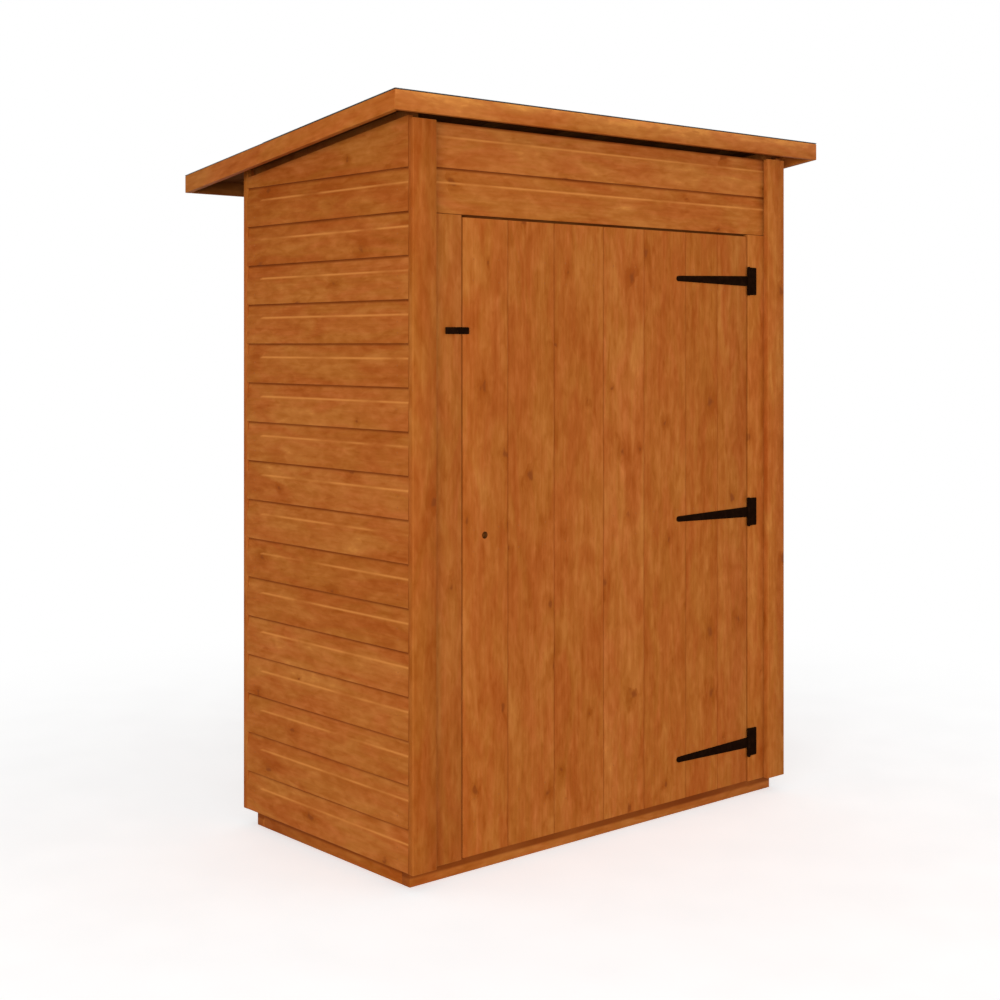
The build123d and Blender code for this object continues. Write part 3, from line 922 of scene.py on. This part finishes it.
class SHED_OT_roof(Operator):
    """Build the roof boards, the felt with its nails, the purlin, the fascias and the barge boards"""

    bl_idname = "shed.roof"
    bl_label = "Roof"

    def execute(self, context):
        sizes = context.scene.shed_boards
        iron = context.scene.shed_ironwork
        ease, plank_gap = sizes.ease, MM
        fascia_tone, fascia_lean = 0.8, 9.0
        felt_low, felt_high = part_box("roof_felt")
        deck_rise = deck_high.z - roof_underside(deck_low.y)
        felt_rise = felt_high.z - roof_underside(felt_low.y) - deck_rise
        edge_low, edge_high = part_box("back_fascia")
        edge_foot = edge_low.z - roof_underside(edge_high.y)

        planks = Timber(51)
        step = (deck_high.x - deck_low.x) / sizes.deck_boards
        for i in range(sizes.deck_boards):
            left, right = deck_low.x + i * step, deck_low.x + (i + 1) * step - plank_gap
            corners = span(deck_low, deck_high, x=(left, right), z=(0, deck_rise))
            # Painted shade: the roof boards are darkened all over
            planks.square(*corners, Y, -X, ease, slope=on_slope, marks=painted_shade_all)
        planks.show("roof_planks", "roof_deck")

        low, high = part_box("roof_purlin")
        purlin = Timber(52)
        # Painted shade: the purlin is darkened all over
        purlin.square(*span(low, high, z=(low.z, front_height)), X, Z, ease, [roof_cut], marks=painted_shade_all)
        purlin.show("purlin_timber", "roof_purlin")

        mitres = [
            (Vector((x, fascia_low.y, 0)), Vector((side, 1, 0)).normalized())
            for x, side in ((fascia_low.x, -1), (fascia_high.x, 1))]
        splay = (Vector((0, fascia_low.y, fascia_high.z)), roof_normal)
        fascia = Timber(53, fascia_tone, fascia_lean)
        fascia.square(fascia_low, fascia_high, -X, Z, ease, [splay, *mitres])
        fascia.show("front_fascia_board", "front_fascia")

        fascia = Timber(54)
        corners = span(edge_low, edge_high, z=(edge_foot, deck_rise))
        # Painted shade on the back fascia's inner face
        fascia.square(*corners, X, Z, ease, slope=on_slope, marks=painted_shade_back)
        fascia.show("back_fascia_board", "back_fascia")

        barges = (("left", Y, mitres[0]), ("right", -Y, mitres[1]))
        for seed, (side, along, (point, outward)) in enumerate(barges, 55):
            corners = span(*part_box(f"{side}_barge_board"), z=(edge_foot, deck_rise))
            barge = Timber(seed)
            barge.square(*corners, along, Z, ease, [(point, -outward)], on_slope)
            barge.show(f"{side}_barge_timber", f"{side}_barge_board")

        self.felt(felt_low, felt_high, deck_rise, felt_rise, iron)
        return {"FINISHED"}

    def felt(self, low, high, foot, rise, iron):
        """Two widths of felt, the upper lapped over the lower, with clout nails along the edges."""
        lap, rim, head_height = 0.075, 0.011, 0.7 * MM
        spaces_across, spaces_back = 18, 11
        sheet_share, ease_share = 2 / 3, 0.3
        lap_y = (low.y + high.y) / 2
        lap_end = lap_y + lap
        felt = bmesh.new()
        sheet_rise = rise * sheet_share
        for near, far, lift in ((low.y, lap_end, rise - sheet_rise), (lap_y, high.y, 0)):
            sheet = bar((high.x - low.x, far - near, sheet_rise), sheet_rise * ease_share)
            put(felt, sheet, on_slope @ Matrix.Translation((low.x, near, foot + lift)))
        show("felt_sheets", felt, "mineral_felt", "shed", ["roof_felt"])

        nails = bmesh.new()
        head = round_head(iron.clout, head_height, slot=False)
        left, right, front, back = low.x + rim, high.x - rim, low.y + rim, high.y - rim
        across = [left + (right - left) * i / spaces_across for i in range(spaces_across + 1)]
        down = [front + (back - front) * i / spaces_back for i in range(1, spaces_back)]
        spots = [(x, y) for x in across for y in (front, lap_end - rim, back)]
        spots += [(x, y) for x in (left, right) for y in down]
        for x, y in spots:
            lift = rise if y < lap_end else sheet_rise
            place = facing(Vector((x, y, roof_underside(y) + foot + lift)), roof_normal)
            put(nails, head, place, keep=True)
        head.free()
        show("felt_clout_nails", nails, "clout_zinc", "shed")


def bore(bm, centre, radius, steps=6):
    """Round hole along a board's depth: a square is marked on both faces, rounded and joined through."""
    square_share, inset_share = 1.9, 0.1
    rims = []
    half = radius * square_share
    for side in (-1, 1):
        def under():
            for face in bm.faces:
                if face.normal.z * side > ALONG_SHARE:
                    xs = [vert.co.x for vert in face.verts]
                    ys = [vert.co.y for vert in face.verts]
                    if min(xs) < centre[0] < max(xs) and min(ys) < centre[1] < max(ys):
                        return face
            raise RuntimeError("The keyhole misses its board")
        for axis, at in ((X, centre[0]), (Y, centre[1])):
            for shift in (-half, half):
                face = under()
                bmesh.ops.bisect_plane(
                    bm, geom=[face, *face.edges, *face.verts], plane_co=axis * (at + shift), plane_no=axis)
        face = under()
        bmesh.ops.subdivide_edges(bm, edges=face.edges[:], cuts=steps - 1)
        face = under()
        bmesh.ops.inset_individual(bm, faces=[face], thickness=half * inset_share)
        for vert in face.verts:
            out = Vector((vert.co.x - centre[0], vert.co.y - centre[1], 0)).normalized() * radius
            vert.co.x, vert.co.y = centre[0] + out.x, centre[1] + out.y
        rims += face.edges[:]
        bmesh.ops.delete(bm, geom=[face], context="FACES_ONLY")
    bmesh.ops.bridge_loops(bm, edges=rims)
    bmesh.ops.recalc_face_normals(bm, faces=bm.faces[:])


def matchboard(sizes, width, thickness, reach, first, last):
    """One upright door board: tongue on its right edge, groove in its left, a V at each joint."""
    v, depth, ease, edge = sizes.v_width / 2, sizes.v_depth, sizes.ease / 2, sizes.door_ease
    gap, tongue, slack, blur = sizes.board_gap, sizes.tongue, sizes.groove_slack, sizes.joint_blur
    front_share, back_share, round_share = 0.38, 0.66, 0.29
    front, back = thickness * front_share, thickness * back_share
    right, rounded = width - gap, edge * round_share
    section = Section((edge if first else v, 0))
    if not first:
        section.to((v + blur, 0))
    if last:
        section.to(
            (width - edge, 0), (width - rounded, rounded), (width, edge), (width, thickness - ease),
            (width - ease, thickness))
    else:
        section.to(
            (width - v - blur, 0), (width - v, 0), (right, depth), (right, front), (right + tongue, front),
            (right + tongue, back), (right, back), (right, thickness - ease), (right - ease, thickness))
    if first:
        section.to((ease, thickness), (0, thickness - ease), (0, edge), (rounded, rounded))
    else:
        groove = gap + tongue + slack
        section.to(
            (gap + ease, thickness), (gap, thickness - ease), (gap, back + slack), (groove, back + slack),
            (groove, front - slack), (gap, front - slack), (gap, depth))
    return section.run(reach)


def door_edges(sizes):
    """Where the door's boards start and end."""
    return [door_low.x + (door_high.x - door_low.x) * share for share in (0, *sizes.door_joints, 1)]


def ledge_feet(sizes):
    """Heights that the ledges on the back of the door start at."""
    low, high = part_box("door_ledges")
    return low.z, (low.z + high.z - sizes.ledge) / 2, high.z - sizes.ledge


class SHED_OT_door(Operator):
    """Build the door's boards, ledges and braces"""

    bl_idname = "shed.door"
    bl_label = "Door"

    def execute(self, context):
        sizes = context.scene.shed_boards
        iron = context.scene.shed_ironwork
        lock_low, lock_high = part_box("rim_lock")
        hole_z = (lock_low.z + lock_high.z) / 2
        hole_x = door_low.x + iron.keyhole_setback
        feet = ledge_feet(sizes)
        self.planks(sizes, iron, hole_x, hole_z)

        low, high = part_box("door_ledges")
        ledge_ease = sizes.ease * 1.5
        ledges = Timber(62)
        for foot in feet:
            board = bar((high.x - low.x, sizes.ledge, high.y - low.y), ledge_ease)
            if foot < hole_z < foot + sizes.ledge:
                bore(board, (high.x - hole_x, hole_z - foot), iron.keyhole)
            ledges.lay(board, laid(Vector((high.x, low.y, foot)), -X, Z))
        ledges.show("door_ledge_set", "door_ledges", "door")

        low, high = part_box("door_braces")
        spare = 0.15
        braces = Timber(63)
        for under, top in zip(feet, feet[1:]):
            foot = under + sizes.ledge
            start = Vector((high.x - sizes.brace_cut, low.y, foot))
            finish = Vector((low.x, low.y, top))
            rise = (finish - start).normalized()
            width = sizes.brace_cut * abs(rise.z)
            place = laid(start - rise * spare, rise, Y.cross(rise))
            board = bar(((finish - start).length + 2 * spare, width, high.y - low.y), sizes.ease)
            saw(board, Vector((0, 0, top)), Z, place)
            saw(board, Vector((0, 0, foot)), -Z, place)
            braces.lay(board, place)
        braces.show("door_brace_pair", "door_braces", "door")
        return {"FINISHED"}

    def planks(self, sizes, iron, hole_x, hole_z):
        """Matched boards of the door, one of them bored for the key."""
        rim = 0.5 * MM
        door_edge_highlight, joint_shade, beside_shade = 0.15, 0.36, 0.3
        v_share, groove_share = 0.9, 0.7
        thickness = door_high.y - door_low.y
        reach = door_high.z - door_low.z
        edges = door_edges(sizes)
        planks = Timber(61)
        for left, right in zip(edges, edges[1:]):
            width = right - left
            board = matchboard(sizes, width, thickness, reach, left == edges[0], right == edges[-1])
            keyhole = Vector((hole_z - door_low.z, hole_x - left, 0))
            if left < hole_x < right:
                bore(board, keyhole, iron.keyhole)
                score(board, Z, rim)

            def marks(point):
                from_edge = min(point.y, width - point.y)
                # Painted shade inside the keyhole
                if (point.xy - keyhole.xy).length < iron.keyhole + NEAR:
                    return 0, 0, point.z > NEAR
                # Painted highlight along the door's two outer edges
                if left + point.y < edges[0] + MM or left + point.y > edges[-1] - MM:
                    return 0, door_edge_highlight, 0
                within = sizes.v_depth * v_share < point.z < thickness * groove_share
                in_joint = within and from_edge < MM / 2
                beside_joint = point.z < NEAR and abs(from_edge - sizes.v_width / 2) < NEAR
                return joint_shade * in_joint + beside_shade * beside_joint, 0, 0
            planks.lay(board, laid(Vector((left, door_low.y, door_low.z)), Z, X), marks)
        planks.show("door_planks", "door_boards", "door")


def rounded_plate(outline, thickness, corners, radius, ease):
    """Flat plate from an outline on the XY plane, with chosen corners rounded and its rim eased."""
    bm = bmesh.new()
    thicken(bm, [bm.faces.new([bm.verts.new((*point, 0)) for point in outline])], Z * thickness)
    spots = [Vector(outline[i]) for i in corners]
    upright = [
        edge for edge in bm.edges
        if abs(edge.verts[0].co.z - edge.verts[1].co.z) > thickness / 2
        and any((edge.verts[0].co.xy - spot).length < NEAR for spot in spots)]
    bevel(bm, upright, radius, segments=7, clamp_overlap=True)
    upward = [face for face in bm.faces if face.normal.z > ALONG_SHARE]
    top = max(upward, key=lambda face: face.calc_area())
    bevel(bm, top.edges[:], ease)
    return bm


def oblong(width, height, thickness, radius, ease, rim=0):
    """Plate with four round corners, drawn in by a rim."""
    right, top = width - rim, height - rim
    outline = ((rim, rim), (right, rim), (right, top), (rim, top))
    return rounded_plate(outline, thickness, range(len(outline)), radius, ease)


def rod(radius, reach, ease, segments=24):
    """Round bar along Z from the origin, with eased rims."""
    bm = bmesh.new()
    bmesh.ops.create_cone(
        bm, cap_ends=True, cap_tris=False, segments=segments, radius1=radius, radius2=radius, depth=reach,
        matrix=Matrix.Translation((0, 0, reach / 2)))
    rims = [edge for edge in bm.edges if abs(edge.verts[0].co.z - edge.verts[1].co.z) < reach / 2]
    bevel(bm, rims, ease)
    return bm


class SHED_OT_hinges(Operator):
    """Build the three black T hinges with their pins and screws"""

    bl_idname = "shed.hinges"
    bl_label = "Hinges"

    def execute(self, context):
        iron = context.scene.shed_ironwork
        head = round_head(iron.screw, iron.screw_height)
        turn = random.Random(71)
        for which in HINGES:
            for leaf, body, draw in (("strap", "door", self.strap), ("plate", "shed", self.plate)):
                node = f"{which}_hinge_{leaf}"
                bm = bmesh.new()
                for x, z in draw(bm, iron, *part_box(node)):
                    spot = Vector((x, front_y - iron.leaf, z))
                    put(bm, head, facing(spot, -Y, turn.uniform(0, math.pi)), keep=True)
                show_iron(f"{node}_iron", bm, body, node)
        head.free()
        self.pins(iron)
        return {"FINISHED"}

    def leaf(self, bm, iron, outline, corners, radius):
        """Lays a flat leaf on the front of the shed."""
        leaf = rounded_plate(outline, iron.leaf, corners, radius, iron.leaf_ease)
        put(bm, leaf, laid(Vector((0, front_y, 0)), X, Z))

    def knuckle(self, bm, iron, foot, reach):
        """Stands a knuckle on its foot."""
        put(bm, rod(iron.barrel, reach, iron.knuckle_ease), Matrix.Translation(foot))

    def strap(self, bm, iron, low, high):
        """Tapered strap with a round tip, and its knuckle. Says where its screws go."""
        screw_shares = ((0.10, 0.26), (0.10, -0.26), (0.42, 0), (0.68, 0), (0.945, 0))
        round_share = 0.98
        middle = (low.z + high.z) / 2
        pivot = high.x - iron.barrel
        root, tip = iron.strap_root / 2, iron.strap_tip / 2
        outline = (
            (pivot, middle - root), (pivot, middle + root), (low.x, middle + tip), (low.x, middle - tip))
        self.leaf(bm, iron, outline, (2, 3), tip * round_share)
        self.knuckle(bm, iron, (pivot, low.y + iron.barrel, middle - root), iron.strap_root)
        return [
            (pivot - (pivot - low.x) * along, middle + iron.strap_root * up) for along, up in screw_shares]

    def plate(self, bm, iron, low, high):
        """Plate on the jamb, notched for the strap, and its knuckles. Says where its screws go."""
        screw_shares = ((0.45, 0.36), (0.45, -0.36), (0.80, 0.13), (0.80, -0.13))
        middle = (low.z + high.z) / 2
        pivot = low.x + iron.barrel
        notch = iron.strap_root / 2 + iron.knuckle_gap
        notch_x = pivot + iron.barrel + iron.knuckle_gap
        outline = (
            (pivot, low.z), (high.x, low.z), (high.x, high.z), (pivot, high.z), (pivot, middle + notch),
            (notch_x, middle + notch), (notch_x, middle - notch), (pivot, middle - notch))
        self.leaf(bm, iron, outline, (1, 2), iron.plate_corner)
        for foot, top in ((low.z, middle - notch), (middle + notch, high.z)):
            self.knuckle(bm, iron, (pivot, low.y + iron.barrel, foot), top - foot)
        return [
            (pivot + (high.x - pivot) * along, middle + (high.z - low.z) * up) for along, up in screw_shares]

    def pins(self, iron):
        """Pins through the knuckles, with a head at each end."""
        low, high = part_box("hinge_pins")
        bm = bmesh.new()
        middle = (low + high) / 2
        head_radius = (high.x - low.x) / 2
        for which in HINGES:
            plate_low, plate_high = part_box(f"{which}_hinge_plate")
            for foot in (plate_low.z - iron.pin_head, plate_high.z):
                head = rod(head_radius, iron.pin_head, iron.leaf_ease, 20)
                put(bm, head, Matrix.Translation((middle.x, middle.y, foot)))
            shank = rod(iron.pin, plate_high.z - plate_low.z, iron.pin_ease, 16)
            put(bm, shank, Matrix.Translation((middle.x, middle.y, plate_low.z)))
        show_iron("hinge_pin_set", bm, "shed", "hinge_pins")


class SHED_OT_lock(Operator):
    """Build the rim lock behind the keyhole"""

    bl_idname = "shed.lock"
    bl_label = "Rim lock"

    def execute(self, context):
        iron = context.scene.shed_ironwork
        case_set, case_corner, case_ease = 1.2 * MM, 4 * MM, 3 * MM
        cover_set, cover_corner, cover_ease, cover_rim = 0.5 * MM, 3 * MM, 0.4 * MM, 7 * MM
        across_shares, up_shares, screw_share = (0.16, 0.84), (0.2, 0.8), 0.8
        low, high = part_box("rim_lock")
        size = high - low
        bm = bmesh.new()
        inward = Matrix.Translation((high.x, low.y, low.z)) @ Matrix((-X, Z, Y)).transposed().to_4x4()
        put(bm, oblong(size.x, size.z, size.y - case_set, case_corner, case_ease), inward)
        put(bm, oblong(size.x, size.z, size.y - cover_set, cover_corner, cover_ease, cover_rim), inward)
        head = round_head(iron.screw * screw_share, cover_set)
        turn = random.Random(72)
        for across in across_shares:
            for up in up_shares:
                spot = Vector((low.x + size.x * across, high.y - cover_set, low.z + size.z * up))
                put(bm, head, facing(spot, Y, turn.uniform(0, math.pi)), keep=True)
        head.free()
        show_iron("rim_lock_case", bm, "door", "rim_lock")
        return {"FINISHED"}


class SHED_OT_turn_button(Operator):
    """Build the turn button and the screw that it turns on"""

    bl_idname = "shed.turn_button"
    bl_label = "Turn button"

    def execute(self, context):
        iron = context.scene.shed_ironwork
        corner, ease = 2.5 * MM, 1.0 * MM
        washer, head_height, head_turn, sunk = 1.2 * MM, 2.5 * MM, 0.6, 1.5 * MM
        low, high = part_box("turn_button")
        size = high - low
        outward = Matrix.Translation((low.x, high.y, low.z)) @ Matrix((X, Z, -Y)).transposed().to_4x4()
        bm = bmesh.new()
        put(bm, oblong(size.x, size.z, size.y, corner, ease), outward)
        show_iron("turn_button_bar", bm, "turn_button", "turn_button")

        low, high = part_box("turn_button_screw")
        middle = (low + high) / 2
        radius = (high.x - low.x) / 2
        seat = facing(Vector((middle.x, high.y, middle.z)), -Y)
        bm = bmesh.new()
        put(bm, rod(radius, washer, iron.pin_ease), seat)
        put(bm, rod(iron.pin, high.y - low.y - sunk, iron.pin_ease, 16), seat)
        under_head = Vector((middle.x, low.y + head_height, middle.z))
        put(bm, round_head(radius, head_height), facing(under_head, -Y, head_turn))
        show_iron("turn_button_pivot_screw", bm, "shed", "turn_button_screw")
        return {"FINISHED"}


class SHED_OT_nails(Operator):
    """Build the nails that hold the boards to the frame"""

    bl_idname = "shed.nails"
    bl_label = "Nails"

    def execute(self, context):
        sizes = context.scene.shed_boards
        iron = context.scene.shed_ironwork
        head_height, half = 0.35 * MM, sizes.stud / 2
        course_shares, plank_shares, ledge_shares = (0.26, 0.52), (0.22, 0.78), (0.16, 0.84)
        head = round_head(iron.nail, head_height, slot=False)
        chance = random.Random(81)
        bm = bmesh.new()

        def nail(point, normal):
            wander = Vector((chance.gauss(0, MM), chance.gauss(0, MM), chance.gauss(0, MM)))
            put(bm, head, facing(point + wander - normal * wander.dot(normal), normal), keep=True)

        rows = []
        for side, face_x, out in (("left", wall_low.x, -X), ("right", right_high.x, X)):
            low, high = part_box(f"{side}_studs")
            rows += [(face_x, y, out) for y in (low.y + half, high.y - half)]
        low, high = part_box("back_studs")
        rows += [(x, wall_high.y, Y) for x in (low.x + half, high.x - half)]
        courses = int((roof_underside(wall_high.y) - wall_low.z) / sizes.cover)
        for x, y, out in rows:
            for course in range(courses):
                for share in course_shares:
                    nail(Vector((x, y, wall_low.z + (course + share) * sizes.cover)), out)
        show("wall_board_nails", bm, "nail_steel", "shed")

        bm = bmesh.new()
        low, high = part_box("door_ledges")
        edges = door_edges(sizes)
        planks = zip(edges, edges[1:])
        for x in (left + (right - left) * share for left, right in planks for share in plank_shares):
            if low.x < x < high.x:
                for foot in ledge_feet(sizes):
                    for share in ledge_shares:
                        nail(Vector((x, door_low.y, foot + sizes.ledge * share)), -Y)
        show("door_board_nails", bm, "nail_steel", "door")
        head.free()
        return {"FINISHED"}


class SHED_OT_stage(Operator):
    """Set the floor, the light and the camera"""

    bl_idname = "shed.stage"
    bl_label = "Stage"

    def execute(self, context):
        scene = context.scene
        stage = scene.shed_stage
        scene.view_settings.view_transform = "Standard"
        self.floor(scene, stage)
        self.sky(scene, stage)
        self.lamp(scene, "key_light", stage.key, stage.key_place, stage.key_size)
        self.lamp(scene, "fill_light", stage.fill, stage.fill_place, stage.fill_size)
        lens = bpy.data.cameras.new("camera")
        lens.lens, lens.sensor_width, lens.shift_y = stage.lens, stage.sensor, stage.rise
        camera = bpy.data.objects.new("camera", lens)
        camera.location = stage.camera_place
        camera.rotation_euler = (math.radians(90), 0, stage.camera_turn)
        scene.collection.objects.link(camera)
        scene.camera = camera
        return {"FINISHED"}

    def seen(self, finish):
        """One for rays that show the background: from the camera, in gloss and through glass."""
        path = finish.node("ShaderNodeLightPath", output="Is Camera Ray")
        shown = path.math("MAXIMUM", path, path.output("Is Glossy Ray"))
        return shown.math("MAXIMUM", shown, path.output("Is Transmission Ray"))

    def floor(self, scene, stage):
        """White floor that takes the shed's shadow and turns into the background."""
        bm = bmesh.new()
        bmesh.ops.create_circle(bm, cap_ends=True, segments=96, radius=stage.floor_radius)
        mesh = bpy.data.meshes.new("studio_floor")
        bm.to_mesh(mesh)
        bm.free()
        finish = Finish(bpy.data.materials.new("studio_floor"))
        place = finish.place()
        across = finish.node("ShaderNodeVectorMath", {"operation": "LENGTH"}, {0: place}, "Value")
        grit = finish.noise(place, (5, 5, 5), 3)
        colours = scene.shed_colours
        shade = finish.mix(finish.between(grit, -0.3, 0.3), colours.floor, colours.floor_light)
        seen = self.seen(finish)
        lit = finish.node("ShaderNodeBsdfDiffuse", sockets={"Color": shade})
        glow = finish.node("ShaderNodeEmission", sockets={"Color": WHITE, "Strength": stage.floor_glow})
        lifted = finish.node("ShaderNodeAddShader", sockets={0: lit, 1: glow})
        dull = finish.node("ShaderNodeBsdfDiffuse", sockets={"Color": (*colours.floor_bounce, 1)})
        near = finish.node("ShaderNodeMixShader", sockets={0: seen, 1: dull, 2: lifted})
        white = finish.node("ShaderNodeEmission", sockets={"Color": WHITE, "Strength": 1.0})
        far = finish.between(across, stage.white_from, stage.white_to) * seen
        blend = finish.node("ShaderNodeMixShader", sockets={0: far, 1: near, 2: white})
        mesh.materials.append(finish.close(blend, "ShaderNodeOutputMaterial"))
        floor = bpy.data.objects.new("studio_floor", mesh)
        scene.collection.objects.link(floor)

    def sky(self, scene, stage):
        """Even light from all round, white where it is seen."""
        world = bpy.data.worlds.new("studio_sky")
        scene.world = world
        finish = Finish(world)
        soft = finish.node("ShaderNodeBackground", sockets={"Color": WHITE, "Strength": stage.sky})
        white = finish.node("ShaderNodeBackground", sockets={"Color": WHITE, "Strength": 1.0})
        blend = finish.node("ShaderNodeMixShader", sockets={0: self.seen(finish), 1: soft, 2: white})
        finish.close(blend, "ShaderNodeOutputWorld")

    def lamp(self, scene, name, power, place, size):
        """Wide light that points at the shed."""
        light = bpy.data.lights.new(name, "AREA")
        light.energy, light.shape = power, "RECTANGLE"
        light.size, light.size_y = size
        lamp = bpy.data.objects.new(name, light)
        lamp.location = place
        lamp.rotation_euler = (scene.shed_stage.aim - place).to_track_quat("-Z", "Y").to_euler()
        scene.collection.objects.link(lamp)


BUILDERS = (
    SHED_OT_cladding, SHED_OT_floor, SHED_OT_framing, SHED_OT_trims, SHED_OT_roof, SHED_OT_door,
    SHED_OT_hinges, SHED_OT_lock, SHED_OT_turn_button, SHED_OT_nails, SHED_OT_stage)
GROUPS = {
    "shed_boards": ShedBoards,
    "shed_ironwork": ShedIronwork,
    "shed_colours": ShedColours,
    "shed_stage": ShedStage,
}


class SHED_PT_panel(Panel):
    """Lists the shed's builders and what they can be given"""

    bl_idname = "SHED_PT_panel"
    bl_label = "Pent tool shed"
    bl_space_type = "VIEW_3D"
    bl_region_type = "UI"
    bl_category = "Shed"

    def draw(self, context):
        for builder in BUILDERS:
            self.layout.operator(builder.bl_idname)
        for group in GROUPS:
            box = self.layout.box()
            settings = getattr(context.scene, group)
            for name in settings.bl_rna.properties.keys():
                if name not in ("rna_type", "name"):
                    box.prop(settings, name)


def register():
    for group, kind in GROUPS.items():
        bpy.utils.register_class(kind)
        setattr(bpy.types.Scene, group, PointerProperty(type=kind))
    for kind in (*BUILDERS, SHED_PT_panel):
        bpy.utils.register_class(kind)


def unregister():
    for kind in (SHED_PT_panel, *reversed(BUILDERS)):
        bpy.utils.unregister_class(kind)
    for group, kind in GROUPS.items():
        delattr(bpy.types.Scene, group)
        bpy.utils.unregister_class(kind)


def main():
    """Builds the shed in order."""
    register()
    bpy.ops.shed.cladding()
    bpy.ops.shed.floor()
    bpy.ops.shed.framing()
    bpy.ops.shed.trims()
    bpy.ops.shed.roof()
    bpy.ops.shed.door()
    bpy.ops.shed.hinges()
    bpy.ops.shed.lock()
    bpy.ops.shed.turn_button()
    bpy.ops.shed.nails()
    bpy.ops.shed.stage()


if __name__ == "__main__":
    main()
